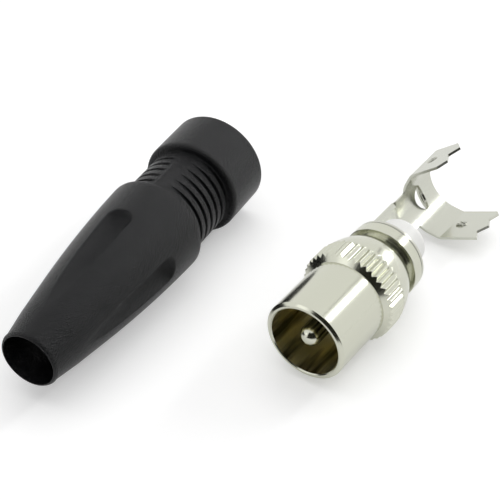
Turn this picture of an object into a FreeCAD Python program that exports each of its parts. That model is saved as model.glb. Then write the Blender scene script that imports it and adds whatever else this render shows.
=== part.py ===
import FreeCAD, Part
import math
import os
import Sketcher

# A male 9.5 mm aerial plug with its black grip sleeve taken off and lying beside it.
# The plug's axis runs along +Y with the mating rim toward -Y. The floor is at z = 0.
# Lengths are millimetres. A name that ends in _y is a distance behind the plug's rim,
# one that ends in _s is a distance from the sleeve's narrow end.

SIZES = {
    # layout on the floor: the knurled band and the sleeve's collar rest on it
    "plug_x": 12.88, "plug_rim_y": -7.35, "axis_up": "=grip_rad",
    "sleeve_x": -8.37, "sleeve_start_y": -25.91, "sleeve_up": "=mouth_rad",
    "sleeve_turn": 6.29, "sleeve_roll": 4.2, "clamp_turn": 31.5,
    # front contact tube
    "tube_rad": 4.7625, "tube_wall": 0.6825, "socket_rad": "=tube_rad - tube_wall",
    "rim_wide": 0.34, "rim_deep": 0.27, "rim_face": "=tube_rad - rim_wide",
    "rim_bevel": 0.1, "tube_end_y": 8.0, "socket_end_y": 9.4,
    # knurled grip band
    "grip_lead": 0.56, "grip_start_y": "=tube_end_y + grip_lead",
    "grip_long": 2.39, "grip_end_y": "=grip_start_y + grip_long",
    "grip_rad": 5.6, "grip_ease": 0.1, "grip_depth": 0.34, "grip_count": 44,
    "grip_land": 0.04, "grip_half_width": "=pi * grip_rad / grip_count - grip_land",
    "grip_fade": 0.55, "grip_fade_end": 0.03,
    # convex collar, neck groove and rear flange
    "collar_long": 3.83, "collar_end_y": "=grip_end_y + collar_long",
    "collar_round": 9.0, "neck_step": 0.25, "collar_end": "=neck_rad + neck_step",
    "neck_wall": 0.4, "neck_rad": "=spigot_rad + neck_wall", "neck_fall": 0.1,
    "neck_start_y": "=collar_end_y + neck_fall",
    "neck_long": 0.22, "neck_end_y": "=neck_start_y + neck_long",
    "flange_y": "=neck_end_y + neck_fall", "flange_long": 1.5,
    "flange_end_y": "=flange_y + flange_long", "flange_edge": 0.12,
    "flange_lap": 0.05, "flange_rad": "=ring_rad + flange_lap",
    "spigot_wall": 0.38, "spigot_rad": "=bush_bore + spigot_wall",
    "spigot_long": 0.6, "spigot_end_y": "=flange_end_y + spigot_long",
    "spigot_lip": 0.16, "lip_gap": 0.03, "lip_rise": 0.09,
    # bores that hold the insulator
    "seat_rad": 2.42, "seat_long": 1.8, "seat_end_y": "=socket_end_y + seat_long",
    "bush_bore": 2.92,
    # centre pin
    "pin_rad": 1.2, "pin_tip_y": 0.3, "pin_step": 0.4, "pin_collar": "=pin_rad + pin_step",
    "pin_collar_y": 13.2, "pin_collar_long": 1.2,
    "pin_collar_end_y": "=pin_collar_y + pin_collar_long", "pin_end_y": 19.2,
    "pin_hole": 0.7, "pin_hole_long": 4.2, "pin_hole_y": "=pin_end_y - pin_hole_long",
    # white insulator
    "fit_gap": 0.02, "bush_set": 0.2, "bush_front_y": "=socket_end_y + bush_set",
    "bush_nose": "=seat_rad - fit_gap", "bush_step_y": "=seat_end_y + fit_gap",
    "bush_rad": "=bush_bore - fit_gap", "bush_over": 1.5,
    "bush_end_y": "=pin_end_y + bush_over", "bush_round": 0.98,
    "bush_bend_y": "=bush_end_y - bush_round", "bush_hole": 1.3, "pin_room": 0.2,
    "funnel_rad": 1.8, "funnel_deep": 0.65, "funnel_y": "=bush_end_y - funnel_deep",
    # stamped cable clamp: sheet, ring and flat strip
    "gauge": 0.3, "half_gauge": "=gauge / 2", "ring_hole": "=spigot_rad + fit_gap",
    "strip_gap": 0.43, "strip_in": "=ring_hole + strip_gap", "ring_edge": 0.4,
    "ring_rad": "=strip_in + gauge + ring_edge", "ring_y": "=flange_end_y",
    "strip_half": 2.2, "bend_rad": 0.4, "bend_in": 0.1,
    "strip_long": 7.9, "strip_end_y": "=ring_y + strip_long",
    "edge_run": 1.0, "edge_end_y": "=strip_end_y + edge_run", "edge_half": 1.6,
    "dish_long": 1.05, "trough_y": "=strip_end_y + dish_long",
    "dish_out": "=sqrt((trough_rad + half_gauge)^2 - edge_half^2) - trough_mid",
    "dish_in": "=sqrt((trough_rad - half_gauge)^2 - edge_half^2) - trough_mid",
    # trough and wings, along the middle of the sheet
    "trough_rad": 4.35, "trough_mid": 0.1, "trough_turn": 46.0, "facet": 1.5,
    "facet_lean": 38.0, "wing_bend": 0.75, "wing_lean": 7.2, "wing_long": 5.4,
    "clamp_reach": "=wing_long + 4 * bend_rad", "trough_lead": 2.05, "wing_y": "=trough_y + trough_lead",
    "wing_deep": 5.9, "wing_end_y": "=wing_y + wing_deep",
    # pierced dimples and lanced barb
    "bite_back": 2.9, "barb_y": "=wing_y + bite_back", "dimple_y": "=barb_y",
    "dimple_rad": 0.92, "dimple_top": 0.4, "dimple_high": 0.2, "dimple_hole": 0.18,
    "dimple_wall": 0.17, "dimple_floor": 0.12, "dimple_along": 1.25,
    "barb_arc": 1.64, "barb_half": 1.55, "barb_long": 1.1, "barb_gauge": "=gauge - 0.04",
    "barb_lean": 48.0, "barb_level": 3.98, "barb_root": 0.5,
    # sleeve outside
    "sleeve_long": 39.05, "tip_wall": 0.09, "tip_rad": "=cable_hole + tip_wall",
    "tip_step": 0.34, "tip_side": "=tip_rad + tip_step", "tip_side_s": 0.46,
    "taper_rad": 4.53, "taper_s": 8.0, "bulge_rad": "=mouth_rad", "bulge_arc": 150.0,
    "collar_wide": 6.45, "shoulder_s": "=sleeve_long - collar_wide", "flex_long": 7.65,
    "bulge_end_s": "=shoulder_s - flex_long", "bulge_edge": 0.35,
    "bulge_s": "=bulge_end_s - bulge_edge", "step_rise": 0.3,
    "bulge_step": "=neck_out + step_rise", "step_ease": 0.05,
    "flex_wall": 0.53, "neck_out": "=mouth_bore + flex_wall",
    "neck_out_s": "=bulge_end_s + bulge_edge",
    "shoulder_edge": 0.65, "mouth_edge": 0.15, "lip_wall": 0.68,
    "mouth_rad": "=lead_rad + lip_wall",
    # sleeve inside
    "cable_hole": 3.05, "cable_s": 2.6, "room_rad": 3.95, "room_long": 5.45,
    "wide_long": 3.45, "room_s": "=bulge_end_s - room_long",
    "wide_s": "=bulge_end_s - wide_long",
    "mouth_clear": 0.12, "mouth_bore": "=flange_rad + mouth_clear", "mouth_lead": 0.8,
    "mouth_s": "=shoulder_s + mouth_lead", "wide_step": 0.2,
    "wide_rad": "=mouth_bore - wide_step", "wide_ease": 0.4,
    "lead_wide": 0.68, "lead_rad": "=mouth_bore + lead_wide",
    "lead_long": 1.05, "lead_s": "=sleeve_long - lead_long",
    # flexing grooves round the sleeve's neck
    "ring_lead": 1.15, "ring_first_s": "=bulge_end_s + ring_lead", "ring_width": 0.4,
    "ring_count": 6, "ring_tail": 0.275,
    "ring_row": "=shoulder_s - ring_first_s - ring_width - ring_tail",
    "ring_rise": 0.25, "ring_arc": "=neck_out + ring_rise", "ring_shift": 0.6,
    "ring_over": 0.45, "ring_clear": "=neck_out + ring_over",
    "ring_tip": "=sqrt(ring_arc^2 - ring_shift^2)",
    # finger flutes
    "flute_rad": 2.2, "flute_wall": 1.07, "flute_off": "=mouth_rad + flute_wall",
    "flute_run": 14.0, "flute_fall": 0.053, "flute_drop": "=flute_run * flute_fall",
    "flute_slant": "=sqrt(1 + flute_fall^2)", "flute_side": "=flute_rad / flute_slant",
    "flute_tilt": "=flute_side * flute_fall",
    "flute_back": 6.8, "flute_ball_s": "=bulge_s - flute_back",
    "flute_from_s": "=flute_ball_s - flute_run", "flute_count": 4,
}

# Saw-toothed wing ends: (distance along the wing's own direction, distance behind wing_y).
WING_ENDS = {
    "upper": [(2.49, 0), (3.33, 1.1), (2.21, 3.05), (3.26, 4.2), (1.91, 5.9)],
    "lower": [(3.5, 0), (2.73, 1.5), (3.63, 2.74), (2.9, 4.2), (3.47, 5.45), (3.14, 5.9)],
}
for side, teeth in WING_ENDS.items():
    for i, (out, back) in enumerate(teeth):
        SIZES["%s_out_%s" % (side, "abcdef"[i])] = out
        SIZES["%s_back_%s" % (side, "abcdef"[i])] = back

doc = FreeCAD.newDocument("aerial_plug")
dims = doc.addObject("Spreadsheet::Sheet", "dims")
for row, name in enumerate(SIZES, 1):
    dims.set("A%d" % row, name)
    dims.setAlias("B%d" % row, name)
for row, value in enumerate(SIZES.values(), 1):
    dims.set("B%d" % row, str(value))
doc.recompute()


def size(name):
    """Value of one spreadsheet cell."""
    return float(dims.get(name))


def number(text):
    """Value of a short sum such as 'flange_end_y - flange_edge'."""
    total = 0.0
    sign = 1.0
    for word in text.split():
        if word in "+-":
            sign = 1.0 if word == "+" else -1.0
        elif word in SIZES:
            total += sign * size(word)
        else:
            total += sign * float(word)
    return total


def formula(text):
    """The same sum as an expression on the spreadsheet."""
    return " ".join("dims." + word if word in SIZES else word for word in text.split())


def bind(thing, **formulas):
    for name, text in formulas.items():
        thing.setExpression(name, formula(text))


def plane(body, role):
    return [item for item in body.Origin.OriginFeatures if item.Role == role][0]


def new_body(label):
    body = doc.addObject("PartDesign::Body", label)
    body.Label = label
    return body


def new_sketch(body, name, role, offset=None):
    """A sketch on one of the body's own planes, moved along that plane's normal."""
    sketch = body.newObject("Sketcher::SketchObject", name)
    sketch.AttachmentSupport = [(plane(body, role), "")]
    sketch.MapMode = "FlatFace"
    if offset:
        sketch.setExpression("AttachmentOffset.Base.z", offset)
    return sketch


def fix_point(sketch, geo, pos, across, along):
    """Ties one point of the sketch to spreadsheet values across and along."""
    for kind, text in (("DistanceX", across), ("DistanceY", along)):
        value = number(text)
        if abs(value) < 1e-9:
            line = -2 if kind == "DistanceX" else -1
            sketch.addConstraint(Sketcher.Constraint("PointOnObject", geo, pos, line))
            continue
        index = sketch.addConstraint(Sketcher.Constraint(kind, -1, 1, geo, pos, value))
        sketch.setExpression("Constraints[%d]" % index, formula(text))


def arc_between(start, end, radius):
    """Arc from start to end; a positive radius bulges to the left of the way."""
    half = (end - start) / 2
    height = math.sqrt(max(radius * radius - half.Length * half.Length, 0.0))
    side = FreeCAD.Vector(-half.y, half.x, 0).normalize() * (1.0 if radius > 0 else -1.0)
    middle = start + half - side * height + side * abs(radius)
    return Part.Arc(start, middle, end)


def outline(sketch, corners):
    """Closed outline. A corner is (across, along) and may add a signed arc radius
    for the stretch that leads to the next corner."""
    first = sketch.GeometryCount
    points = [FreeCAD.Vector(number(c[0]), number(c[1]), 0) for c in corners]
    count = len(corners)
    starts = []
    ends = []
    for i, corner in enumerate(corners):
        here = points[i]
        there = points[(i + 1) % count]
        if len(corner) == 3:
            sign = -1.0 if corner[2].startswith("-") else 1.0
            bow = corner[2].lstrip("-")
            geo = sketch.addGeometry(arc_between(here, there, sign * number(bow)), False)
            near = sketch.getPoint(geo, 1).distanceToPoint(here) < 1e-6
            starts.append(1 if near else 2)
            ends.append(2 if near else 1)
            index = sketch.addConstraint(Sketcher.Constraint("Radius", geo, number(bow)))
            sketch.setExpression("Constraints[%d]" % index, formula(bow))
        else:
            sketch.addGeometry(Part.LineSegment(here, there), False)
            starts.append(1)
            ends.append(2)
    for i in range(count):
        after = (i + 1) % count
        sketch.addConstraint(Sketcher.Constraint(
            "Coincident", first + i, ends[i], first + after, starts[after]))
    for i, corner in enumerate(corners):
        fix_point(sketch, first + i, starts[i], corner[0], corner[1])


def turned(body, name, corners):
    """Revolution about the body's Y axis; corners are (radius, distance along Y)."""
    sketch = new_sketch(body, name + "_profile", "XY_Plane")
    outline(sketch, corners)
    feature = body.newObject("PartDesign::Revolution", name)
    feature.Profile = sketch
    feature.ReferenceAxis = (sketch, ["V_Axis"])
    feature.Angle = 360
    body.Tip = feature
    return feature


def valley(body, name, behind, deep, wide):
    """V outline of the knurl's cutter at one distance behind the rim."""
    sketch = new_sketch(body, name, "XZ_Plane", "-(" + behind + ")")
    outline(sketch, [
        ("0", "grip_rad - " + deep),
        (wide, "grip_rad + fit_gap"),
        ("0 - " + wide, "grip_rad + fit_gap"),
    ])
    return sketch


def outer_shell():
    body = new_body("outer_shell")
    turned(body, "turned_shell", [
        ("socket_rad + rim_bevel", "0"),
        ("rim_face", "0"),
        ("tube_rad", "rim_deep"),
        ("tube_rad", "tube_end_y"),
        ("grip_rad", "grip_start_y"),
        ("grip_rad", "grip_end_y - grip_ease"),
        ("grip_rad - grip_ease", "grip_end_y", "-collar_round"),
        ("collar_end", "collar_end_y"),
        ("neck_rad", "neck_start_y"),
        ("neck_rad", "neck_end_y"),
        ("flange_rad - flange_edge", "flange_y"),
        ("flange_rad", "flange_y + flange_edge"),
        ("flange_rad", "flange_end_y - flange_edge"),
        ("flange_rad - flange_edge", "flange_end_y"),
        ("spigot_rad - fit_gap", "flange_end_y"),
        ("spigot_rad - fit_gap", "flange_end_y + gauge + lip_gap"),
        ("spigot_rad + spigot_lip", "flange_end_y + gauge + lip_gap + lip_rise"),
        ("spigot_rad + spigot_lip - lip_rise", "spigot_end_y"),
        ("bush_bore", "spigot_end_y"),
        ("bush_bore", "seat_end_y"),
        ("seat_rad", "seat_end_y"),
        ("seat_rad", "socket_end_y"),
        ("socket_rad", "socket_end_y"),
        ("socket_rad", "rim_bevel"),
    ])
    # one V valley of the knurl with a floor that rises at the rear, repeated round the band
    sections = [
        valley(body, "valley_front", "dims.tube_end_y", "grip_depth", "grip_half_width"),
        valley(body, "valley_rear", "dims.grip_end_y - dims.grip_ease",
               "grip_depth", "grip_half_width"),
        valley(body, "valley_fade", "dims.grip_end_y + dims.grip_fade",
               "grip_fade_end", "grip_fade_end"),
    ]
    cut = body.newObject("PartDesign::SubtractiveLoft", "valley")
    cut.Profile = sections[0]
    cut.Sections = sections[1:]
    cut.Ruled = True
    body.Tip = cut
    around = body.newObject("PartDesign::PolarPattern", "knurl")
    around.Originals = [cut]
    around.Axis = (plane(body, "Y_Axis"), [""])
    around.Angle = 360
    around.setExpression("Occurrences", "dims.grip_count")
    body.Tip = around
    doc.recompute()
    return body


def centre_pin():
    body = new_body("centre_pin")
    turned(body, "turned_pin", [
        ("0", "pin_tip_y", "-pin_rad"),
        ("pin_rad", "pin_tip_y + pin_rad"),
        ("pin_rad", "pin_collar_y"),
        ("pin_collar", "pin_collar_y"),
        ("pin_collar", "pin_collar_end_y"),
        ("pin_rad", "pin_collar_end_y"),
        ("pin_rad", "pin_end_y"),
        ("pin_hole", "pin_end_y"),
        ("pin_hole", "pin_hole_y"),
        ("0", "pin_hole_y - pin_hole"),
    ])
    doc.recompute()
    return body


def insulator():
    body = new_body("insulator")
    turned(body, "moulded_bush", [
        ("pin_rad + fit_gap", "bush_front_y"),
        ("bush_nose", "bush_front_y"),
        ("bush_nose", "bush_step_y"),
        ("bush_rad", "bush_step_y"),
        ("bush_rad", "bush_bend_y", "-bush_round"),
        ("bush_rad - bush_round", "bush_end_y"),
        ("funnel_rad", "bush_end_y"),
        ("bush_hole", "funnel_y"),
        ("bush_hole", "pin_end_y + pin_room"),
        ("pin_rad + fit_gap", "pin_end_y + pin_room"),
        ("pin_rad + fit_gap", "pin_collar_end_y + fit_gap"),
        ("pin_collar + fit_gap", "pin_collar_end_y + fit_gap"),
        ("pin_collar + fit_gap", "pin_collar_y - fit_gap"),
        ("pin_rad + fit_gap", "pin_collar_y - fit_gap"),
    ])
    doc.recompute()
    return body


def pad(body, name, sketch, length, reverse=False, both=False):
    feature = body.newObject("PartDesign::Pad", name)
    feature.Profile = sketch
    feature.setExpression("Length", length)
    feature.Reversed = reverse
    feature.Midplane = both
    body.Tip = feature
    return feature


def pocket(body, name, sketch, length, reverse=False, both=False):
    feature = body.newObject("PartDesign::Pocket", name)
    feature.Profile = sketch
    feature.setExpression("Length", length)
    feature.Reversed = reverse
    feature.Midplane = both
    body.Tip = feature
    return feature


def circle(sketch, radius):
    geo = sketch.addGeometry(Part.Circle(FreeCAD.Vector(), FreeCAD.Vector(0, 0, 1),
                                         number(radius)), False)
    sketch.addConstraint(Sketcher.Constraint("Coincident", geo, 3, -1, 1))
    index = sketch.addConstraint(Sketcher.Constraint("Radius", geo, number(radius)))
    sketch.setExpression("Constraints[%d]" % index, formula(radius))


def wing_path(sketch):
    """Middle line of one half of the clamp's sheet, from the floor of the trough to
    the wing's end: arc, short flat facet, tight bend and a nearly straight wing."""
    turn = math.radians(size("trough_turn"))
    rise = math.radians(size("facet_lean"))
    lean = math.radians(size("wing_lean"))
    rad = size("trough_rad")
    bend = size("wing_bend")
    mid = FreeCAD.Vector(size("trough_mid"), 0, 0)

    def way(angle):
        return FreeCAD.Vector(math.cos(angle), math.sin(angle), 0)

    arc_end = mid + way(math.pi - turn) * rad
    facet_end = arc_end + way(rise) * size("facet")
    centre = facet_end - way(math.pi / 2 + rise) * bend
    bend_end = centre + way(math.pi / 2 + lean) * bend
    tip = bend_end + way(lean) * size("wing_long")
    up = FreeCAD.Vector(0, 0, 1)
    floor = sketch.addGeometry(Part.ArcOfCircle(Part.Circle(mid, up, rad),
                                                math.pi - turn, math.pi), False)
    facet = sketch.addGeometry(Part.LineSegment(arc_end, facet_end), False)
    knee = sketch.addGeometry(Part.ArcOfCircle(Part.Circle(centre, up, bend),
                                               math.pi / 2 + lean, math.pi / 2 + rise), False)
    wing = sketch.addGeometry(Part.LineSegment(bend_end, tip), False)
    for rule in (("PointOnObject", floor, 3, -1), ("PointOnObject", floor, 2, -1),
                 ("Coincident", floor, 1, facet, 1), ("Tangent", facet, 2, knee, 2),
                 ("Tangent", knee, 1, wing, 1)):
        sketch.addConstraint(Sketcher.Constraint(*rule))
    for rule, text in ((("DistanceX", -1, 1, floor, 3, mid.x), "dims.trough_mid"),
                       (("Radius", floor, rad), "dims.trough_rad"),
                       (("Radius", knee, bend), "dims.wing_bend"),
                       (("Distance", facet, size("facet")), "dims.facet"),
                       (("Distance", wing, size("wing_long")), "dims.wing_long"),
                       (("Angle", floor, turn), "dims.trough_turn * 1deg"),
                       (("Angle", facet, rise), "dims.facet_lean * 1deg"),
                       (("Angle", wing, lean), "dims.wing_lean * 1deg")):
        index = sketch.addConstraint(Sketcher.Constraint(*rule))
        sketch.setExpression("Constraints[%d]" % index, text)


def cut_wing_end(body, side):
    """Trims one wing along its zig-zag end."""
    sketch = new_sketch(body, side + "_end_outline", "XY_Plane")
    letters = "abcdef"[:len(WING_ENDS[side])]
    out = ["%s_out_%s" % (side, letter) for letter in letters]
    back = ["wing_y + %s_back_%s" % (side, letter) for letter in letters]
    outline(sketch, [(out[0], "wing_y - 1")] + list(zip(out, back)) + [
        (out[-1], "wing_end_y + 1"), ("clamp_reach", "wing_end_y + 1"),
        ("clamp_reach", "wing_y - 1")])
    pocket(body, side + "_wing_end", sketch, "dims.clamp_reach", reverse=side == "upper")


def clamp_sheet():
    """The stamping without its dimples and barb, drawn with the mouth toward +X."""
    body = new_body("clamp_sheet")
    section = new_sketch(body, "sheet_section", "XY_Plane")
    outline(section, [
        ("trough_mid - trough_rad - half_gauge", "trough_y"),
        ("trough_mid - trough_rad + half_gauge", "trough_y"),
        ("trough_mid - trough_rad + half_gauge", "wing_end_y"),
        ("trough_mid - trough_rad - half_gauge", "wing_end_y"),
    ])
    path = new_sketch(body, "sheet_path", "XZ_Plane")
    wing_path(path)
    bent = body.newObject("PartDesign::AdditivePipe", "bent_half")
    bent.Profile = section
    bent.Spine = (path, [])
    bent.Transition = "Right corner"
    body.Tip = bent
    doc.recompute()
    other = body.newObject("PartDesign::Mirrored", "other_half")
    other.Originals = [bent]
    other.MirrorPlane = (plane(body, "XY_Plane"), [""])
    body.Tip = other
    # the wings start behind the strip's end: the sheet is narrower in front of them
    narrow = new_sketch(body, "narrow_outline", "YZ_Plane")
    for low, high in (("strip_half", "clamp_reach"), ("0 - clamp_reach", "0 - strip_half")):
        outline(narrow, [("trough_y - 1", low), ("wing_y", low),
                         ("wing_y", high), ("trough_y - 1", high)])
    pocket(body, "narrow", narrow, "2 * dims.clamp_reach", both=True)
    for side in WING_ENDS:
        cut_wing_end(body, side)
    # half-moon hole in the trough where the barb was lanced
    hole = new_sketch(body, "barb_hole_outline", "YZ_Plane")
    outline(hole, [("barb_y", "0 - barb_half", "barb_arc"), ("barb_y", "barb_half")])
    pocket(body, "barb_hole", hole, "2 * dims.clamp_reach", both=True)
    # ring with its hole, cut straight where the strip is folded out of it
    ring = new_sketch(body, "ring_outline", "XZ_Plane", "-dims.ring_y - dims.gauge")
    circle(ring, "ring_rad")
    pad(body, "ring", ring, "dims.gauge")
    chord = new_sketch(body, "chord_outline", "XZ_Plane", "-dims.ring_y + 1")
    outline(chord, [("0 - ring_rad - 1", "0 - ring_rad"),
                    ("0 - strip_in - gauge + bend_rad", "0 - ring_rad"),
                    ("0 - strip_in - gauge + bend_rad", "ring_rad"),
                    ("0 - ring_rad - 1", "ring_rad")])
    pocket(body, "chord", chord, "dims.gauge + 2")
    strip = new_sketch(body, "strip_outline", "XY_Plane")
    outline(strip, [
        ("0 - ring_hole", "ring_y"),
        ("0 - ring_hole", "ring_y + gauge"),
        ("bend_in - strip_in", "ring_y + gauge", "-bend_in"),
        ("0 - strip_in", "ring_y + gauge + bend_in"),
        ("0 - strip_in", "strip_end_y"),
        ("0 - strip_in - gauge", "strip_end_y"),
        ("0 - strip_in - gauge", "ring_y + bend_rad", "bend_rad"),
        ("bend_rad - strip_in - gauge", "ring_y"),
    ])
    pad(body, "strip", strip, "2 * dims.strip_half", both=True)
    bore = new_sketch(body, "bore_outline", "XZ_Plane", "-dims.ring_y + 1")
    circle(bore, "ring_hole")
    pocket(body, "ring_bore", bore, "dims.gauge + 2")
    # the flat edges of the strip run on a little, the middle dips into the trough
    edges = new_sketch(body, "edge_outline", "XZ_Plane", "-dims.edge_end_y")
    for low, high in (("edge_half", "strip_half"), ("0 - strip_half", "0 - edge_half")):
        outline(edges, [("0 - strip_in - gauge", low), ("0 - strip_in", low),
                        ("0 - strip_in", high), ("0 - strip_in - gauge", high)])
    pad(body, "strip_edges", edges, "dims.edge_end_y - dims.strip_end_y + 0.2")
    flat = new_sketch(body, "dish_flat", "XZ_Plane", "-dims.strip_end_y")
    outline(flat, [("0 - strip_in - gauge", "0 - edge_half"),
                   ("0 - strip_in - gauge", "edge_half"),
                   ("0 - strip_in", "edge_half"), ("0 - strip_in", "0 - edge_half")])
    arched = new_sketch(body, "dish_arched", "XZ_Plane", "-dims.trough_y")
    outline(arched, [("0 - dish_out", "0 - edge_half", "trough_rad + half_gauge"),
                     ("0 - dish_out", "edge_half"),
                     ("0 - dish_in", "edge_half", "-trough_rad - half_gauge"),
                     ("0 - dish_in", "0 - edge_half")])
    dish = body.newObject("PartDesign::AdditiveLoft", "dish")
    dish.Profile = flat
    dish.Sections = [arched]
    dish.Ruled = True
    body.Tip = dish
    doc.recompute()
    return body


def turn_to(across, along, up):
    """Rotation that lays the local X, Y and Z axes along the three given directions."""
    return FreeCAD.Rotation(FreeCAD.Vector(*across), FreeCAD.Vector(*along),
                            FreeCAD.Vector(*up), "XYZ")


def cone(name, low, high, height, base, direction):
    thing = doc.addObject("Part::Cone", name)
    bind(thing, Radius1=low, Radius2=high, Height=height)
    thing.Placement = FreeCAD.Placement(
        base, FreeCAD.Rotation(FreeCAD.Vector(0, 0, 1), direction))
    return thing


def joined(name, shapes):
    thing = doc.addObject("Part::MultiFuse", name)
    thing.Shapes = shapes
    return thing


def cable_clamp():
    """The whole stamping: sheet, two pierced dimples raised inward and the lanced barb."""
    blank = clamp_sheet()
    turn = math.radians(size("trough_turn"))
    rise = math.radians(size("facet_lean"))
    lean = math.radians(size("wing_lean"))
    bend = size("wing_bend")
    root_x = (size("trough_mid") - size("trough_rad") * math.cos(turn)
              + size("facet") * math.cos(rise) + bend * (math.sin(rise) - math.sin(lean)))
    root_z = (size("trough_rad") * math.sin(turn) + size("facet") * math.sin(rise)
              - bend * (math.cos(rise) - math.cos(lean)))
    raised = []
    sunk = []
    for side, word in ((1, "upper"), (-1, "lower")):
        inward = FreeCAD.Vector(math.sin(lean), 0, -side * math.cos(lean))
        spot = FreeCAD.Vector(root_x + size("dimple_along") * math.cos(lean),
                              size("dimple_y"),
                              side * (root_z + size("dimple_along") * math.sin(lean)))
        raised.append(cone(word + "_dimple", "dimple_rad", "dimple_top",
                           "dimple_high + half_gauge", spot, inward))
        sunk.append(cone(word + "_dimple_back", "dimple_rad - dimple_wall",
                         "dimple_hole - fit_gap", "dimple_high + gauge - dimple_floor",
                         spot - inward * size("half_gauge"), inward))
        hole = doc.addObject("Part::Cylinder", word + "_dimple_hole")
        bind(hole, Radius="dimple_hole", Height="dimple_high + gauge + fit_gap")
        hole.Placement = sunk[-1].Placement
        sunk.append(hole)
    # barb: a half disc folded inward about a line across the trough
    disc = doc.addObject("Part::Cylinder", "barb_disc")
    bind(disc, Radius="barb_arc", Height="barb_gauge")
    disc.Placement.Base = FreeCAD.Vector(size("barb_arc") - size("barb_long"), 0, 0)
    half = doc.addObject("Part::Box", "barb_half_disc")
    bind(half, Length="2 * barb_long + barb_root", Width="2 * barb_half",
         Height="barb_gauge")
    half.Placement.Base = FreeCAD.Vector(-2 * size("barb_long"), -size("barb_half"), 0)
    barb = doc.addObject("Part::Common", "barb")
    barb.Base = disc
    barb.Tool = half
    fold = math.radians(size("barb_lean"))
    barb.Placement = FreeCAD.Placement(
        FreeCAD.Vector(-size("barb_level"), size("barb_y"), 0),
        turn_to((-math.sin(fold), math.cos(fold), 0), (0, 0, 1),
                (math.cos(fold), math.sin(fold), 0)))
    clamp = doc.addObject("Part::Cut", "cable_clamp")
    clamp.Label = "cable_clamp"
    clamp.Base = joined("clamp_with_dimples", [blank, barb] + raised)
    clamp.Tool = joined("dimple_backs", sunk)
    return clamp


def sleeve():
    body = new_body("sleeve")
    turned(body, "moulded_sleeve", [
        ("cable_hole", "0"),
        ("tip_rad", "0", "-tip_side_s"),
        ("tip_side", "tip_side_s"),
        ("taper_rad", "taper_s", "-bulge_arc"),
        ("bulge_rad", "bulge_s", "-bulge_edge"),
        ("bulge_rad - bulge_edge", "bulge_end_s"),
        ("bulge_step", "bulge_end_s + step_ease"),
        ("neck_out", "neck_out_s"),
        ("neck_out", "shoulder_s"),
        ("mouth_rad - shoulder_edge", "shoulder_s", "-shoulder_edge"),
        ("mouth_rad", "shoulder_s + shoulder_edge"),
        ("mouth_rad", "sleeve_long - mouth_edge", "-mouth_edge"),
        ("mouth_rad - mouth_edge", "sleeve_long"),
        ("lead_rad", "sleeve_long"),
        ("mouth_bore", "lead_s"),
        ("mouth_bore", "mouth_s"),
        ("wide_rad", "mouth_s - wide_ease"),
        ("wide_rad", "wide_s"),
        ("room_rad", "room_s"),
        ("cable_hole", "cable_s"),
    ])
    # flexing grooves that fade out toward the mould's parting line at local +Z and -Z
    ring = new_sketch(body, "ring_outline", "XZ_Plane", "-dims.ring_first_s")
    circle(ring, "ring_clear")
    outline(ring, [("0", "0 - ring_tip", "-ring_arc"), ("0", "ring_tip", "-ring_arc")])
    groove = pocket(body, "flexing_ring", ring, "dims.ring_width")
    row = body.newObject("PartDesign::LinearPattern", "flexing_rings")
    row.Originals = [groove]
    row.Direction = (plane(body, "Y_Axis"), [""])
    row.setExpression("Length", "dims.ring_row")
    row.setExpression("Occurrences", "dims.ring_count")
    body.Tip = row
    # four finger flutes cut by a round-nosed shape that falls toward the front
    nose = new_sketch(body, "flute_outline", "XY_Plane")
    outline(nose, [
        ("flute_off - flute_drop", "flute_from_s"),
        ("flute_off - flute_drop - flute_side", "flute_from_s + flute_tilt"),
        ("flute_off - flute_side", "flute_ball_s + flute_tilt", "flute_rad"),
        ("flute_off + flute_tilt", "flute_ball_s + flute_side"),
    ])
    axis = nose.addGeometry(Part.LineSegment(
        FreeCAD.Vector(number("flute_off - flute_drop"), number("flute_from_s"), 0),
        FreeCAD.Vector(number("flute_off"), number("flute_ball_s"), 0)), True)
    fix_point(nose, axis, 1, "flute_off - flute_drop", "flute_from_s")
    fix_point(nose, axis, 2, "flute_off", "flute_ball_s")
    flute = body.newObject("PartDesign::Groove", "flute")
    flute.Profile = nose
    flute.ReferenceAxis = (nose, ["Axis0"])
    flute.Angle = 360
    body.Tip = flute
    around = body.newObject("PartDesign::PolarPattern", "flutes")
    around.Originals = [flute]
    around.Axis = (plane(body, "Y_Axis"), [""])
    around.Angle = 360
    around.setExpression("Occurrences", "dims.flute_count")
    body.Tip = around
    return body


def put(thing, base, rotation):
    """Places a finished piece; base names its spreadsheet cells for x, y and z."""
    thing.Placement = FreeCAD.Placement(FreeCAD.Vector(*[number(b) for b in base]), rotation)
    for axis, text in zip("xyz", base):
        thing.setExpression("Placement.Base." + axis, formula(text))


def spin(axis, degrees):
    return FreeCAD.Rotation(FreeCAD.Vector(*axis), degrees)


plug_base = ("plug_x", "plug_rim_y", "axis_up")
pieces = [outer_shell(), centre_pin(), insulator()]
for piece in pieces:
    put(piece, plug_base, FreeCAD.Rotation())
pieces.append(cable_clamp())
put(pieces[-1], plug_base, spin((0, 1, 0), -size("clamp_turn")))
pieces.append(sleeve())
put(pieces[-1], ("sleeve_x", "sleeve_start_y", "sleeve_up"),
    spin((0, 0, 1), size("sleeve_turn")) * spin((0, 1, 0), -size("sleeve_roll")))
doc.recompute()

for item in doc.Objects:
    if "Invalid" in item.State or "Error" in item.State:
        raise RuntimeError("%s did not build: %s" % (item.Name, item.State))
os.makedirs("parts", exist_ok=True)
for piece in pieces:
    solid = piece.Shape
    if solid.isNull() or not solid.isValid() or len(solid.Solids) != 1:
        raise RuntimeError(piece.Label + " is not one valid solid")
    solid.exportStep("parts/%s.step" % piece.Label)
    box = solid.BoundBox
    print(piece.Label, "volume", round(solid.Volume, 2), "faces", len(solid.Faces), "box",
          [round(v, 3) for v in (box.XMin, box.XMax, box.YMin, box.YMax, box.ZMin, box.ZMax)])
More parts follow.
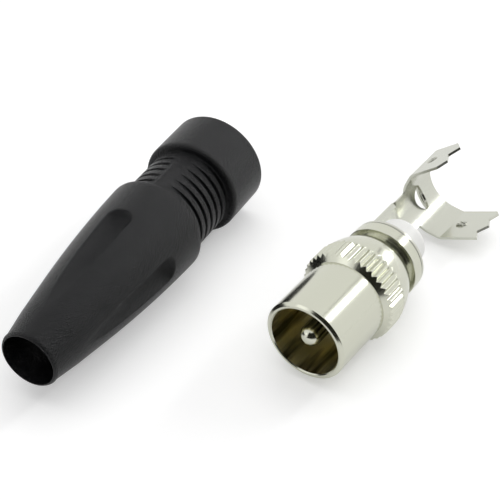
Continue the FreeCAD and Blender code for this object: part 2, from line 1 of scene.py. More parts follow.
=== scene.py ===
# %% [markdown]
# # Coaxial aerial plug with its black grip sleeve taken off
# The plug is a small turned and plated part: a 9.5 mm contact tube with a pin inside, a
# knurled grip band, a white bush and a stamped cable clamp. Its moulded sleeve lies beside
# it. The solids come from the CAD model and stay where they are. This lesson gives them
# their finishes, the studio and the camera.

# %% Load the frame
import bpy
import math
from mathutils import Euler, Matrix, Vector


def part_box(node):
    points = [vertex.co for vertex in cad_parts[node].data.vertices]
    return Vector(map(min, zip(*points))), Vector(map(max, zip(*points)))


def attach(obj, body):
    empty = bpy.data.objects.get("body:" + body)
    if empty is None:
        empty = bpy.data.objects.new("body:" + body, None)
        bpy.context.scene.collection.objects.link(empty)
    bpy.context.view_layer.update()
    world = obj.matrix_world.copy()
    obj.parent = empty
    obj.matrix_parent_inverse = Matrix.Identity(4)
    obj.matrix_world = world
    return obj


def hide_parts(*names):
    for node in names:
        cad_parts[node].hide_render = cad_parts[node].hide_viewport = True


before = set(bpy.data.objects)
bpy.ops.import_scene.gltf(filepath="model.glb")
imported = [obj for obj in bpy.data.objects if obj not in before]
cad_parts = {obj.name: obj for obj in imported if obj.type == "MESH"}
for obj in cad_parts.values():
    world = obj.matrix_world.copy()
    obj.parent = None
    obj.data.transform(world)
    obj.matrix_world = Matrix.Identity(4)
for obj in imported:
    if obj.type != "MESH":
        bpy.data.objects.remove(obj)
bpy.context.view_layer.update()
print("nodes", sorted(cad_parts))

# %% [markdown]
# All measures in the workshop are millimetres, and Blender works in metres here. Each turned
# piece is easiest to think of in its own frame: across, along its centre line, and up. One
# matrix for the plug and one for the sleeve turn such millimetres into the place where the
# piece really lies. The sleeve lies a few degrees askew and is rolled a little about its own
# centre line, because somebody just put it down.

# %% Millimetres and the two centre lines
MM = 0.001
PLUG_AT, PLUG_TURN = (12.88 * MM, -7.35 * MM, 5.6 * MM), (0.0, 0.0, 0.0)
SLEEVE_AT = (-8.37 * MM, -25.91 * MM, 5.98 * MM)
SLEEVE_TURN = (0.0, math.radians(-4.2), math.radians(6.29))
PLUG = Matrix.LocRotScale(Vector(PLUG_AT), Euler(PLUG_TURN), Vector((MM, MM, MM)))
SLEEVE = Matrix.LocRotScale(Vector(SLEEVE_AT), Euler(SLEEVE_TURN), Vector((MM, MM, MM)))

for name in sorted(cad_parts):
    low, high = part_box(name)
    print(name, [round(v / MM, 2) for v in (*low, *high)])

# %% [markdown]
# Colours are picked from a screen, so they are sRGB hex values. The renderer adds
# up light and needs linear values, and one function does that for every colour. Another
# small function adds a shader node with its settings and links, so that each finish below
# reads as a list of what it is made of.

# %% Colour and node helpers


def linear(code):
    """sRGB hex such as C8C8C0 to a linear RGBA colour."""
    shades = [int(code[i:i + 2], 16) / 255 for i in (0, 2, 4)]
    return [s / 12.92 if s <= 0.04045 else ((s + 0.055) / 1.055) ** 2.4 for s in shades] + [1.0]


def add_node(tree, kind, inputs=None, **settings):
    """Adds one node; an input is a plain value or the socket that feeds it."""
    node = tree.nodes.new(kind)
    for name, value in settings.items():
        setattr(node, name, value)
    for name, value in (inputs or {}).items():
        if isinstance(value, bpy.types.NodeSocket):
            tree.links.new(value, node.inputs[name])
        else:
            node.inputs[name].default_value = value
    return node


def new_finish(name, **inputs):
    """A material with one Principled surface; returns the material, its tree and surface."""
    finish = bpy.data.materials.new(name)
    finish.use_nodes = True
    tree = finish.node_tree
    tree.nodes.clear()
    surface = add_node(tree, "ShaderNodeBsdfPrincipled", inputs)
    add_node(tree, "ShaderNodeOutputMaterial", {"Surface": surface.outputs["BSDF"]})
    print("finish", name)
    return finish, tree, surface


def dress(node, finish):
    """Gives one CAD piece its finish."""
    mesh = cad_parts[node].data
    mesh.materials.clear()
    mesh.materials.append(finish)


def own_frame(tree, at, turn):
    """Position in a piece's own frame, in millimetres: across, along and up."""
    place = add_node(tree, "ShaderNodeTexCoord").outputs["Object"]
    return add_node(tree, "ShaderNodeMapping", {
        "Vector": place, "Location": at, "Rotation": turn, "Scale": (MM, MM, MM)},
        vector_type="TEXTURE").outputs[0]


# %% [markdown]
# ## Turned nickel over brass
# The tube is turned on a lathe and plated with nickel, then tumbled bright. Nickel is a
# warm grey metal. The tool leaves rings less than a tenth of a millimetre apart, so a
# reflection smears along the tube and stays sharp round it. A ring is the same all the way
# round: the noise that makes it sees only how far a point lies along the axis and from it.

# %% Turned nickel
NO_Y = (1, 0, 1)
TOOL_MARKS_PER_MM, TOOL_MARK_DEEP, TOOL_MARK_STRENGTH = 14.0, 0.01 * MM, 0.12

nickel, tree, surface = new_finish(
    "turned_nickel_on_brass", Metallic=1.0, Roughness=0.17, **{"Base Color": linear("CFD0C1")})
place = own_frame(tree, PLUG_AT, PLUG_TURN)
along = add_node(tree, "ShaderNodeSeparateXYZ", {0: place}).outputs["Y"]
flat = add_node(tree, "ShaderNodeVectorMath", {0: place, 1: NO_Y}, operation="MULTIPLY")
off_axis = add_node(tree, "ShaderNodeVectorMath", {0: flat.outputs[0]}, operation="LENGTH")
ring = add_node(tree, "ShaderNodeCombineXYZ", {"X": along, "Y": off_axis.outputs["Value"]})
marks = add_node(tree, "ShaderNodeTexNoise", {
    "Vector": ring.outputs[0], "Scale": TOOL_MARKS_PER_MM, "Detail": 3.0, "Roughness": 0.7})
bump = add_node(tree, "ShaderNodeBump", {
    "Height": marks.outputs["Fac"], "Strength": TOOL_MARK_STRENGTH,
    "Distance": TOOL_MARK_DEEP})
tree.links.new(bump.outputs[0], surface.inputs["Normal"])

# %% [markdown]
# The plating bath hardly reaches into the tube, so its bore keeps the yellow of the brass
# and stays duller. The bore was drawn before it was turned outside, and drawing leaves
# streaks that run along the tube; the bump gives them. The colour along the streaks swings
# between dark and pale brass, and that is painted reflection: it stands for the dark and
# bright parts of the room mirrored down the bore. The streaks depend on the direction from
# the axis. So the noise gets a point on a circle of radius 1, which has no seam, and only
# three hundredths of the distance along the tube, which draws every patch out to a streak.

# %% Bore of the tube
STREAK_SCALE, STREAK_STRETCH, STREAK_DEEP = 2.2, (0.0, 0.03, 0.0), 0.05 * MM
# painted reflection: the dark and the pale brass tone stand for the room mirrored down the bore
BORE_BRASS_AND_PAINTED_REFLECTION = ((0.42, "6A6340"), (0.58, "FFF6C8"))

bore_brass, tree, surface = new_finish("thin_nickel_in_the_bore", Metallic=1.0, Roughness=0.36)
place = own_frame(tree, PLUG_AT, PLUG_TURN)
flat = add_node(tree, "ShaderNodeVectorMath", {0: place, 1: NO_Y}, operation="MULTIPLY")
spoke = add_node(tree, "ShaderNodeVectorMath", {0: flat.outputs[0]}, operation="NORMALIZE")
streak_at = add_node(tree, "ShaderNodeVectorMath", {
    0: place, 1: STREAK_STRETCH, 2: spoke.outputs[0]}, operation="MULTIPLY_ADD")
streaks = add_node(tree, "ShaderNodeTexNoise", {
    "Vector": streak_at.outputs[0], "Scale": STREAK_SCALE, "Detail": 3.0, "Roughness": 0.5})
# painted reflection: the streaks switch the brass between its dark and its pale tone
painted_reflection_tone = add_node(tree, "ShaderNodeValToRGB", {"Fac": streaks.outputs["Fac"]})
for stop, (at, code) in zip(painted_reflection_tone.color_ramp.elements, BORE_BRASS_AND_PAINTED_REFLECTION):
    stop.position, stop.color = at, linear(code)
tree.links.new(painted_reflection_tone.outputs["Color"], surface.inputs["Base Color"])
bump = add_node(tree, "ShaderNodeBump", {
    "Height": streaks.outputs["Fac"], "Strength": 0.5, "Distance": STREAK_DEEP})
tree.links.new(bump.outputs[0], surface.inputs["Normal"])

# %% [markdown]
# ## Turned and moulded round pieces
# A lathe part is one outline spun round its axis. A modifier could do it, but the knurl
# changes the outline from tooth to tooth, so the rings of points are placed in code: one
# column of points for each angle. Every corner gets a few points on a small curve, because
# no real edge is perfectly sharp and that curve is what catches the light.

# %% Softened outlines and arcs
CURVE_STEPS, SIDE_SHARE = 4, 0.45


def softened(corners):
    """Corners are (radius, distance, softness) in millimetres; each becomes a small curve
    that takes no more than a share of the two sides that meet there."""
    path = []
    for i, (radius, along, soft) in enumerate(corners):
        here = Vector((radius, along))
        if soft == 0:
            path.append(tuple(here))
            continue
        before = Vector(corners[i - 1][:2]) - here
        after = Vector(corners[(i + 1) % len(corners)][:2]) - here
        start = here + before.normalized() * min(soft, before.length * SIDE_SHARE)
        end = here + after.normalized() * min(soft, after.length * SIDE_SHARE)
        for k in range(CURVE_STEPS + 1):
            t = k / CURVE_STEPS
            path.append(tuple(start * (1 - t) ** 2 + here * 2 * t * (1 - t) + end * t ** 2))
    return path


def arc_radius(s, a, b, bow):
    """Radius at s on an arc of radius bow that bulges out from point a to point b."""
    chord = Vector(b) - Vector(a)
    middle = (Vector(a) + Vector(b)) / 2
    centre = middle + Vector((-chord.y, chord.x)).normalized() * math.sqrt(
        bow ** 2 - (chord.length / 2) ** 2)
    return centre.x + math.sqrt(bow ** 2 - (s - centre.y) ** 2)


# %% [markdown]
# A point's normal is worked out from the outline itself, so a reflection runs along the
# tube without a ripple. Where the outline changes from column to column, as in the knurl,
# the normals of the faces round the point are added up instead.

# %% Spinning an outline


def ring_points(columns):
    """Points with the outline's normals; the columns share a point that is on the axis."""
    tall = len(columns[0][1])
    points, normals, index = [], [], {}
    for i, (angle, rows) in enumerate(columns):
        across, up = math.cos(angle), math.sin(angle)
        for j, (r, y) in enumerate(rows):
            if r == 0 and i:
                index[i, j] = index[0, j]
                continue
            index[i, j] = len(points)
            points.append(Vector((r * across, y, r * up)))
            before, after = rows[j - 1], rows[(j + 1) % tall]
            out, back = after[1] - before[1], before[0] - after[0]
            if r == 0:
                out, back = 0.0, -1.0 if after[0] else 1.0
            normals.append(Vector((out * across, back, out * up)))
    return points, normals, index


def ring_faces(columns, points, index, pick):
    """Faces, the finish of each, and at each point the sum of its faces' normals."""
    faces, marks, bends = [], [], [Vector((0, 0, 0)) for point in points]
    for i, (angle, rows) in enumerate(columns):
        for j in range(len(rows)):
            k, n = (j + 1) % len(rows), (i + 1) % len(columns)
            ring = [index[i, j], index[i, k], index[n, k], index[n, j]]
            face = list(dict.fromkeys(ring))
            if len(face) < 3:
                continue
            a, b, c, d = (points[v] for v in ring)
            for v in face:
                bends[v] += (c - a).cross(d - b)
            faces.append(face)
            marks.append(pick(rows[j], rows[k]) if pick else 0)
    return faces, marks, bends


def spun(name, own, columns, finishes, pick=None):
    """Closed mesh of columns (angle, [(radius, distance)...]) in a piece's own frame."""
    points, normals, index = ring_points(columns)
    faces, marks, bends = ring_faces(columns, points, index, pick)
    for j in range(len(columns[0][1])):
        if len({rows[j] for angle, rows in columns}) > 1:
            for i in range(len(columns)):
                normals[index[i, j]] = bends[index[i, j]]
    mesh = bpy.data.meshes.new(name)
    mesh.from_pydata([own @ point for point in points], [], faces)
    for finish in finishes:
        mesh.materials.append(finish)
    mesh.polygons.foreach_set("material_index", marks)
    mesh.polygons.foreach_set("use_smooth", [True] * len(faces))
    turn = own.to_quaternion()
    mesh.normals_split_custom_set_from_vertices([turn @ n.normalized() for n in normals])
    piece = bpy.data.objects.new(name, mesh)
    bpy.context.scene.collection.objects.link(piece)
    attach(piece, "root")
    print(name, "has", len(faces), "faces")
    return piece


def even_turns(count):
    """Angles of so many columns, evenly spaced."""
    return [2 * math.pi * i / count for i in range(count)]


# %% [markdown]
# ## The shell with its knurled band
# The knurl is 44 straight V valleys, 0.34 mm deep, pressed along the band. Each valley
# meets the bevel in front in a small peak and runs out at the rear. Ten columns for each
# tooth follow the root, the two sides and the crest, and each column finds its own point
# where the bevel meets the valley, so the saw-toothed line is crisp. Behind the convex
# collar lies the neck groove. Its two walls shade it, and it reads as a black line between
# two bright rings.

# %% Outline of the shell
TUBE_RAD, BORE_RAD, PIN_HOLE_RAD, BORE_END = 4.7625, 4.08, 2.42, 9.4
BEVEL_START, BEVEL_LONG = 8.0, 0.56
FRONT = softened([(4.18, 0, 0.03), (4.4225, 0, 0.07), (TUBE_RAD, 0.27, 0.09),
                  (TUBE_RAD, BEVEL_START, 0)])
NECK_GROOVE = ((4.27, 14.3, 0.02), (3.85, 14.34, 0.02), (3.85, 15.2, 0.02), (4.44, 15.2, 0.02))
FLANGE = ((4.5, 15.26, 0.03), (4.5, 16.55, 0.03), (4.44, 16.6, 0.02), (3.4, 16.62, 0.02))
ROLLED_SPIGOT = ((3.28, 16.7, 0.01), (3.28, 17.03, 0.02), (3.46, 17.12, 0.04),
                 (3.37, 17.3, 0.05), (2.92, 17.3, 0.04))
INSIDE = ((2.92, 11.2, 0.02), (PIN_HOLE_RAD, 11.2, 0.02), (PIN_HOLE_RAD, BORE_END, 0.03),
          (BORE_RAD, BORE_END, 0.06), (BORE_RAD, 0.1, 0.04))
REAR = softened([*NECK_GROOVE, *FLANGE, *ROLLED_SPIGOT, *INSIDE])
print("shell outline has", len(FRONT) + len(REAR), "points outside its grip band")

# %% Knurl
TEETH = 44
GRIP_RAD, GRIP_DEPTH, GRIP_HALF, VALLEY_FLAT = 5.6, 0.34, 0.36, 0.015
GRIP_END, FADE_LONG, FADE_SHARE = 10.85, 0.65, 0.91
COLLAR_FRONT, COLLAR_BACK, COLLAR_BOW = (5.5, 10.95), (3.95, 14.78), 9.0
# where the columns stand in a tooth, and where the rows stand on bevel, fade and collar
TOOTH_COLUMNS = (-0.385, -0.355, -0.24, -0.12, -0.03, 0.03, 0.12, 0.24, 0.355, 0.385)
BEVEL_ROWS = (0.03, 0.5, 0.97, 1.0)
FADE_ROWS = (10.8, 10.86, 10.92, 10.98, 11.04, 11.1, 11.16, 11.22, 11.28, 11.34, 11.42)
COLLAR_ROWS = (11.8, 12.2, 12.6, 13.0, 13.3, 13.6, 13.9, 14.15)


def collar(along):
    """Radius of the convex collar."""
    return arc_radius(along, COLLAR_FRONT, COLLAR_BACK, COLLAR_BOW)


def knurled(offset):
    """Outline through the grip band, this far (in mm) beside the middle of a valley."""
    side = max(abs(offset) - VALLEY_FLAT, 0.0) * GRIP_DEPTH / GRIP_HALF
    root = min(GRIP_RAD, GRIP_RAD - GRIP_DEPTH + side)
    rise = root - TUBE_RAD
    meet = BEVEL_START + BEVEL_LONG * rise / (GRIP_RAD - TUBE_RAD)
    rows = [(TUBE_RAD + rise * t, BEVEL_START + (meet - BEVEL_START) * t) for t in BEVEL_ROWS]
    rows += [(root, along) for along in (meet + 0.03, 9.3, 10.2)]
    for along in FADE_ROWS:
        past = max(along - GRIP_END, 0.0)
        skin = collar(along) if along > COLLAR_FRONT[1] else GRIP_RAD - past
        depth = GRIP_DEPTH * (1 - FADE_SHARE * past / FADE_LONG)
        rows.append((min(skin, GRIP_RAD - depth + side), along))
    return rows + [(collar(along), along) for along in COLLAR_ROWS]


# %% Shell
BORE_ROOM = ((PIN_HOLE_RAD - 0.02, BORE_RAD + 0.02), BORE_END + 0.05)


def bore_face(a, b):
    """1 for the faces of the open bore, 0 for all others."""
    (least, most), depth = BORE_ROOM
    return int(min(a[0], b[0]) > least and max(a[0], b[0]) < most and max(a[1], b[1]) < depth)


columns = [
    (math.pi / 2 + tooth + offset / GRIP_RAD, FRONT + knurled(offset) + REAR)
    for tooth in even_turns(TEETH) for offset in TOOTH_COLUMNS]
shell = spun("shell_turned", PLUG, columns, [nickel, bore_brass], bore_face)
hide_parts("outer_shell")

# %% [markdown]
# ## The pin
# The pin is a small turned rod with a round nose that comes almost to the rim. A shoulder
# holds it in the bush, and its tail is hollow for the cable's inner wire. Its outline is
# spun in 72 columns, enough for a rod that is 2.4 mm thick.

# %% Pin
PIN_RAD, NOSE_CENTRE, PIN_COLUMNS = 1.2, 1.5, 72
nose = [(PIN_RAD * math.sin(math.radians(a)), NOSE_CENTRE - PIN_RAD * math.cos(math.radians(a)))
        for a in range(0, 91, 6)]
rod = [(PIN_RAD, 5.0), (PIN_RAD, 9.0)]
tail = softened([
    (PIN_RAD, 13.2, 0.02), (1.6, 13.2, 0.04), (1.6, 14.4, 0.04), (PIN_RAD, 14.4, 0.02),
    (PIN_RAD, 19.2, 0.05), (0.7, 19.2, 0.05), (0.7, 15.0, 0.02), (0.0, 14.3, 0)])
pin = spun("pin_turned", PLUG, [(turn, nose + rod + tail) for turn in even_turns(PIN_COLUMNS)],
           [nickel])
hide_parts("centre_pin")

# %% [markdown]
# ## The bush
# The bush is moulded in white polypropylene, satin and a little waxy. The solid from the
# CAD model has all its steps, so it only needs the finish.

# %% White bush
white = new_finish(
    "moulded_polypropylene", Roughness=0.42, IOR=1.49, **{"Base Color": linear("F4F4F1")})[0]
dress("insulator", white)

# %% [markdown]
# ## The clamp
# The clamp is stamped from thin plated sheet, so it is softer in its shine than the turned
# parts. Rolling leaves a grain that is long in one direction, and the sheared edges are
# rounded by a few hundredths of a millimetre, which a Bevel node does without new faces.

# %% Plated sheet
SHEAR_ROUND, ROLL_DEEP = 0.03 * MM, 0.01 * MM
ROLL_GRAIN = (9000, 700, 9000)

sheet, tree, surface = new_finish(
    "plated_rolled_sheet", Metallic=1.0, Roughness=0.24, **{"Base Color": linear("CDCEC3")})
place = add_node(tree, "ShaderNodeTexCoord").outputs["Object"]
rolled = add_node(tree, "ShaderNodeMapping", {"Vector": place, "Scale": ROLL_GRAIN})
grain = add_node(tree, "ShaderNodeTexNoise", {
    "Vector": rolled.outputs[0], "Scale": 1.0, "Detail": 3.0, "Roughness": 0.6})
edge = add_node(tree, "ShaderNodeBevel", {"Radius": SHEAR_ROUND}, samples=4)
bump = add_node(tree, "ShaderNodeBump", {
    "Height": grain.outputs["Fac"], "Normal": edge.outputs[0], "Strength": 0.15,
    "Distance": ROLL_DEEP})

# %% [markdown]
# Each wing has a dimple that was pierced from behind. The torn burr round it is a ring of
# bump on top of the grain: its height depends on the distance from the nearer dimple, and
# noise shakes that distance, so no burr is a perfect circle.

# %% Burrs round the dimples
DIMPLES = ((15.05, 23.25, 1.95), (10.49, 23.25, 9.1))
TORN_SCALE, BURR_START, BURR_END, BURR_HIGH = 2500.0, 0.5, 1.5, 0.4 * MM
BURR_STOPS = ((0.2, 0.0), (0.42, 1.0), (0.66, 0.0))

reach = [add_node(tree, "ShaderNodeVectorMath", {
    0: place, 1: tuple(v * MM for v in spot)}, operation="DISTANCE") for spot in DIMPLES]
near = add_node(tree, "ShaderNodeMath", {
    0: reach[0].outputs["Value"], 1: reach[1].outputs["Value"]}, operation="MINIMUM")
torn = add_node(tree, "ShaderNodeTexNoise", {"Vector": place, "Scale": TORN_SCALE})
far = add_node(tree, "ShaderNodeMath", {
    0: near.outputs[0], 1: 1.0 / MM, 2: torn.outputs["Fac"]}, operation="MULTIPLY_ADD")
share = add_node(tree, "ShaderNodeMapRange", {
    "Value": far.outputs[0], "From Min": BURR_START, "From Max": BURR_END})
burr = add_node(tree, "ShaderNodeValToRGB", {"Fac": share.outputs["Result"]})
burr.color_ramp.interpolation = "EASE"
for at, level in BURR_STOPS:
    stop = burr.color_ramp.elements.new(at)
    stop.color = (level, level, level, 1.0)
burr.color_ramp.elements[-1].color = burr.color_ramp.elements[0].color
crater = add_node(tree, "ShaderNodeBump", {
    "Height": burr.outputs["Color"], "Normal": bump.outputs[0], "Strength": 1.0,
    "Distance": BURR_HIGH})
tree.links.new(crater.outputs[0], surface.inputs["Normal"])
dress("cable_clamp", sheet)

# %% [markdown]
# ## Black sleeve
# The sleeve is moulded in black polyethylene in a spark-eroded mould: the steel was
# roughened by sparks of a tenth or two of a millimetre, and the plastic copies that grain.
# Noise and pits of that size are added up and bend the surface, so the highlight breaks up.

# %% Spark-eroded black
SPARKS_PER_MM, PITS_PER_MM, SPARK_DEEP = 5.5, 7.0, 0.075 * MM

black, tree, surface = new_finish(
    "spark_eroded_polyethylene", Roughness=0.27, IOR=1.5, **{
        "Base Color": linear("0A0B0D"), "Specular IOR Level": 0.25})
place = own_frame(tree, SLEEVE_AT, SLEEVE_TURN)
sparks = add_node(tree, "ShaderNodeTexNoise", {
    "Vector": place, "Scale": SPARKS_PER_MM, "Detail": 2.0, "Roughness": 0.8})
pits = add_node(tree, "ShaderNodeTexVoronoi", {"Vector": place, "Scale": PITS_PER_MM})
grain = add_node(tree, "ShaderNodeMath", {
    0: sparks.outputs["Fac"], 1: pits.outputs["Distance"]}, operation="ADD")
bump = add_node(tree, "ShaderNodeBump", {
    "Height": grain.outputs[0], "Strength": 0.9, "Distance": SPARK_DEEP})
tree.links.new(bump.outputs[0], surface.inputs["Normal"])

# %% [markdown]
# ## Shape of the sleeve
# The outside is one outline spun round the axis, with two things taken away. The first are
# four finger flutes, as a round-nosed cutter with a radius of 2.2 mm would leave them. Its
# path falls less than the body does, so each flute runs out toward the thin end. A soft
# minimum joins flute and body, because a moulded edge is never sharp.

# %% Flutes
FLUTE_RAD, FLUTE_OFF, FLUTE_FALL, FLUTE_BALL, FLUTE_SOFT = 2.2, 7.0, 0.053, 18.3, 0.05
QUARTER = math.pi / 2


def fluted(radius, s, angle):
    """Radius after the nearest flute has been cut, with a soft edge."""
    turn = (angle + QUARTER / 2) % QUARTER - QUARTER / 2
    off = FLUTE_OFF - FLUTE_FALL * (FLUTE_BALL - min(s, FLUTE_BALL))
    cutter = FLUTE_RAD ** 2 - 2 * max(s - FLUTE_BALL, 0.0) ** 2
    reach = cutter - (off * math.sin(turn)) ** 2
    if reach <= 0:
        return radius
    floor = off * math.cos(turn) - math.sqrt(reach)
    blend = max(FLUTE_SOFT - abs(radius - floor), 0.0) / FLUTE_SOFT
    return min(radius, floor) - blend * blend * FLUTE_SOFT / 4


# %% [markdown]
# The second are six flexing grooves round the neck. The two halves of the mould part along
# a line on the top and one below, and each half has its own ribs, which thin out before
# they reach that line. So each groove fades out, slowly on the side toward +X and steeply
# on the other, and a trace of flash stands proud along the line.

# %% Grooves
NECK_OUT, GROOVES, GROOVE_FIRST, GROOVE_PITCH, GROOVE_WIDE = 5.15, 6, 26.1, 1.165, 0.4
GROOVE_EDGE = 0.05
# on the side toward +X and on the other: how fast a groove deepens, where it starts and
# how deep it gets, in millimetres
GROOVE_SIDES = {True: (0.65, 0.17, 0.4), False: (1.7, 0.1, 0.24)}
FLASH_HIGH, FLASH_WIDE, FLASH_RAD = 0.05, 0.14, 5.2


def grooved(radius, s, angle):
    """Radius of the neck after the flexing grooves, fading toward the parting line."""
    side = math.cos(angle)
    rate, start, deepest = GROOVE_SIDES[side > 0]
    depth = min(max(rate * abs(side) - start, 0.0), deepest)
    past = s - GROOVE_FIRST - GROOVE_WIDE / 2
    nearest = min(max(round(past / GROOVE_PITCH), 0), GROOVES - 1)
    beside = abs(past - nearest * GROOVE_PITCH)
    wall = (GROOVE_WIDE / 2 + GROOVE_EDGE - beside) / (2 * GROOVE_EDGE)
    wall = min(max(wall, 0.0), 1.0)
    flash = FLASH_HIGH * math.exp(-((side * FLASH_RAD / FLASH_WIDE) ** 2)) * (1 - wall)
    return radius - depth * wall * wall * (3 - 2 * wall) + flash


# %% [markdown]
# The body is a straight cone at its thin end and a very flat arc, 150 mm in radius, behind
# it. At its thick end it drops over a rounded edge to the neck, and the collar rises again
# from the neck. The inside is stepped: a hole for the cable, a taper, the neck's bore and
# the wide mouth that takes the plug's flange.

# %% Outline of the sleeve
TIP, WAIST, BELLY, BODY_BOW = (3.48, 0.46), (4.53, 8.0), (5.98, 24.6), 150.0
BODY_FROM, BODY_STEP, BODY_ROWS = 4.0, 0.2, 103
GROOVE_ROWS = (-0.28, -0.06, -0.04, -0.02, 0.0, 0.03, 0.06, 0.2, 0.34, 0.37, 0.4, 0.42, 0.44,
               0.46, 0.66)


def body_radius(s):
    """Radius of the body without its flutes."""
    if s > WAIST[1]:
        return arc_radius(s, WAIST, BELLY, BODY_BOW)
    return TIP[0] + (WAIST[0] - TIP[0]) * (s - TIP[1]) / (WAIST[1] - TIP[1])


tip = softened([(3.05, 0.0, 0.06), (3.14, 0.0, 0.05), (3.30, 0.08, 0.09), (*TIP, 0.25)])
body = [BODY_FROM + BODY_STEP * i for i in range(BODY_ROWS)]
body = [(body_radius(s), s) for s in body]
edge = softened([
    (5.98, 24.56, 0), (5.94, 24.80, 0.12), (5.76, 24.97, 0.08), (5.06, 25.03, 0.03),
    (5.06, 25.32, 0.04), (NECK_OUT, 25.40, 0.03), (NECK_OUT, 25.6, 0)])[1:]
neck = [(NECK_OUT, GROOVE_FIRST + i * GROOVE_PITCH + step)
        for i in range(GROOVES) for step in GROOVE_ROWS]
COLLAR = ((NECK_OUT, 32.6, 0.05), (5.64, 32.6, 0.05), (5.87, 32.7, 0.14), (5.98, 33.02, 0.16),
          (5.98, 39.05, 0.15), (5.3, 39.05, 0.05))
ROOM = ((4.62, 38.0, 0.05), (4.62, 33.4, 0.05), (4.42, 33.0, 0.05), (4.42, 21.5, 0.05),
        (3.95, 19.5, 0.1), (3.05, 2.6, 0.1))
mouth = softened([*COLLAR, *ROOM])
print("sleeve outline has", sum(map(len, (tip, body, edge, neck, mouth))), "points")

# %% [markdown]
# 320 columns follow the flutes' soft edges, and with them the sleeve stays under 200,000
# triangles.

# %% Sleeve
SLEEVE_COLUMNS = 320

columns = []
for angle in even_turns(SLEEVE_COLUMNS):
    outside = tip + [(fluted(r, s, angle), s) for r, s in body] + edge
    outside += [(grooved(r, s, angle), s) for r, s in neck]
    columns.append((angle, outside + mouth))
sleeve = spun("sleeve_moulded", SLEEVE, columns, [black])
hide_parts("sleeve")

# %% [markdown]
# ## The table
# A white sweep of paper, so large that its edge never shows. Its camera rays get a little
# glow, which lifts the white without more light on the plug, while the shadow still
# darkens it. Rays that come from a mirror or through glass get half as much: the metal
# would look flat if all of its lower half mirrored pure white.

# %% Table
TABLE_SIZE, TABLE_Z = 6.0, -0.02 * MM
GLOW_SEEN, GLOW_MIRRORED = 0.3, 0.15


def any_ray(tree, *kinds):
    """Socket that is 1 for a ray of one of these kinds and 0 for all others."""
    rays = add_node(tree, "ShaderNodeLightPath")
    found = rays.outputs[kinds[0]]
    for kind in kinds[1:]:
        found = add_node(tree, "ShaderNodeMath", {
            0: found, 1: rays.outputs[kind]}, operation="MAXIMUM").outputs[0]
    return found


bpy.ops.mesh.primitive_plane_add(size=TABLE_SIZE, location=(0, 0, TABLE_Z))
table = bpy.context.object
table.name = "table"
paper, tree, surface = new_finish(
    "white_paper_sweep", Roughness=0.9, **{"Base Color": linear("F2F2F2")})
mirrored = add_node(tree, "ShaderNodeMath", {
    0: any_ray(tree, "Is Glossy Ray", "Is Transmission Ray"), 1: GLOW_MIRRORED},
    operation="MULTIPLY")
glow = add_node(tree, "ShaderNodeMath", {
    0: any_ray(tree, "Is Camera Ray"), 1: GLOW_SEEN, 2: mirrored.outputs[0]},
    operation="MULTIPLY_ADD")
surface.inputs["Emission Color"].default_value = (1, 1, 1, 1)
tree.links.new(glow.outputs[0], surface.inputs["Emission Strength"])
table.data.materials.append(paper)

# %% [markdown]
# ## The room
# The room is white where the camera or a mirror looks at it, and gives half of that as
# light, so that the lamps and not the walls shape the plug.

# %% Room light
ROOM_LIGHT, ROOM_SEEN = 0.5, 1.0

world = bpy.data.worlds.new("white_room")
bpy.context.scene.world = world
world.use_nodes = True
tree = world.node_tree
tree.nodes.clear()
seen = any_ray(tree, "Is Camera Ray", "Is Glossy Ray", "Is Transmission Ray")
level = add_node(tree, "ShaderNodeMapRange", {
    "Value": seen, "To Min": ROOM_LIGHT, "To Max": ROOM_SEEN})
sky = add_node(tree, "ShaderNodeBackground", {
    "Color": (1, 1, 1, 1), "Strength": level.outputs["Result"]})
add_node(tree, "ShaderNodeOutputWorld", {"Surface": sky.outputs[0]})
print("room light", ROOM_LIGHT, "and seen as", ROOM_SEEN)

# %% [markdown]
# ## Lamps
# A long softbox stands behind the plug and leans with it: every turned surface mirrors one
# strip of it, and that is the bright band that runs over tube, collar and flange. Its core
# is narrow and far brighter, as a tube behind a cloth is, and gives the black sleeve its
# soft light. A small softbox stands in front on the left, and a large one above fills the
# shadows without showing in the metal.

# %% Lamps
BACK_WAY, BACK_UP = (0.283, 0.866, 0.413), (0.489, -0.5, 0.715)
AIM_HIGH = Vector((0, 0, 5 * MM))
# name, direction, direction of the long side, distance, width and height, level
LAMPS = (
    ("back_softbox", BACK_WAY, BACK_UP, 0.6, (0.14, 0.52), 1.35),
    ("back_core", BACK_WAY, BACK_UP, 0.59, (0.035, 0.48), 12.0),
    ("front_softbox", (-0.47, -0.78, 0.41), (0, 0, 1), 0.6, (0.2, 0.16), 0.45),
    ("top_softbox", (-0.1, 0.1, 1.0), (0, 1, 0), 0.9, (1.0, 1.0), 1.05))


def softbox(name, along, up, distance, size, level):
    """An area lamp at a direction, its long side along up; level 1 shines like white."""
    way = Vector(along).normalized()
    high = (Vector(up) - way * Vector(up).dot(way)).normalized()
    lamp = bpy.data.lights.new(name, "AREA")
    lamp.shape = "RECTANGLE"
    lamp.size, lamp.size_y = size
    lamp.energy = level * math.pi * size[0] * size[1]
    thing = bpy.data.objects.new(name, lamp)
    bpy.context.scene.collection.objects.link(thing)
    thing.matrix_world = Matrix.Translation(way * distance + AIM_HIGH) @ Matrix(
        (high.cross(way), high, way)).transposed().to_4x4()
    thing.visible_camera = False
    print(name, "gives", round(lamp.energy, 3), "W")
    return thing


lamps = {row[0]: softbox(*row) for row in LAMPS}
lamps["top_softbox"].visible_glossy = False

# %% [markdown]
# ## Dark room in front
# Polished metal is only as good as what it mirrors. The dark bevel, the dark rim and the
# black stripe along the tube are mirror images of black felt: an apron on the floor in
# front of the plug, a wall behind the apron, and one black strip beside the long softbox,
# like its frame. The felt is only seen in reflections. It takes no light from the plug and
# the camera doesn't see it.

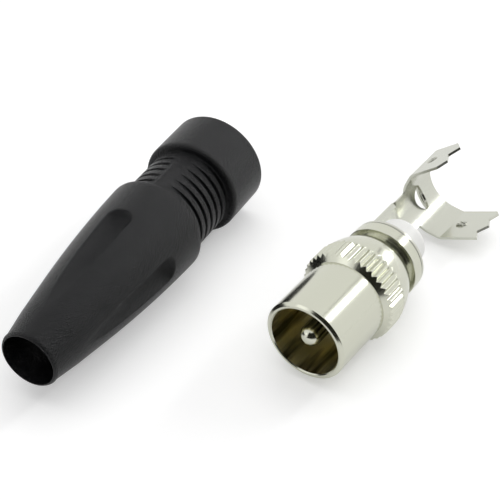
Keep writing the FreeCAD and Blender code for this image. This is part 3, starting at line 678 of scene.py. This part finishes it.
# %% Dark felt
APRON_NEAR, WALL_FAR, FLOOR_GAP, WALL_HIGH = 0.065, 0.35, 0.0002, 0.50
# distance and height of each corner of the apron and the wall, seen from the side
FELT = ((APRON_NEAR, FLOOR_GAP), (WALL_FAR, FLOOR_GAP), (WALL_FAR, WALL_HIGH))
# degrees from -Y toward +X
FELT_TURNS = range(-10, 79, 8)
STRIP_FAR, STRIP_BESIDE, STRIP_WIDE, STRIP_HALF = 0.58, 0.122, 0.016, 0.24

turns = [math.radians(a) for a in FELT_TURNS]
points = [(far * math.sin(a), -far * math.cos(a), high) for a in turns for far, high in FELT]
faces = [(3 * i + k, 3 * i + k + 1, 3 * i + k + 4, 3 * i + k + 3)
         for i in range(len(turns) - 1) for k in (0, 1)]
way, high = Vector(BACK_WAY), Vector(BACK_UP)
side = high.cross(way).normalized()
for out in (STRIP_BESIDE, STRIP_BESIDE + STRIP_WIDE):
    points += [tuple(way * STRIP_FAR + side * out + high * up)
               for up in (-STRIP_HALF, STRIP_HALF)]
faces.append((len(points) - 4, len(points) - 3, len(points) - 1, len(points) - 2))
screen_mesh = bpy.data.meshes.new("dark_screen")
screen_mesh.from_pydata(points, [], faces)
screen = bpy.data.objects.new("dark_screen", screen_mesh)
bpy.context.scene.collection.objects.link(screen)
felt = new_finish("black_felt", Roughness=1.0, **{"Base Color": linear("1C1B12")})[0]
screen.data.materials.append(felt)
screen.visible_camera = screen.visible_diffuse = screen.visible_shadow = False

# %% [markdown]
# ## The camera
# The camera stands about 17 cm away with a long lens, so near and far circles differ a
# little in size. Place and direction were worked out from the round rim, whose diameter is
# known, and from the straight edges of tube and sleeve.

# %% Camera
SENSOR_MM, LENS_MM = 36.0, 108.0
CAMERA_AT = (72.60 * MM, -103.12 * MM, 111.77 * MM)
CAMERA_AROUND, CAMERA_ABOVE = math.radians(34.764), math.radians(39.76)

lens = bpy.data.cameras.new("camera")
lens.sensor_width, lens.lens, lens.clip_start = SENSOR_MM, LENS_MM, 10 * MM
camera = bpy.data.objects.new("camera", lens)
bpy.context.scene.collection.objects.link(camera)
back = Vector((math.sin(CAMERA_AROUND) * math.cos(CAMERA_ABOVE),
               -math.cos(CAMERA_AROUND) * math.cos(CAMERA_ABOVE), math.sin(CAMERA_ABOVE)))
camera.location = CAMERA_AT
camera.rotation_mode = "QUATERNION"
camera.rotation_quaternion = (-back).to_track_quat("-Z", "Y")
bpy.context.scene.camera = camera
bpy.context.scene.view_settings.view_transform = "Standard"
print("camera stands", round(Vector(CAMERA_AT).length / MM), "mm from the middle of the floor")
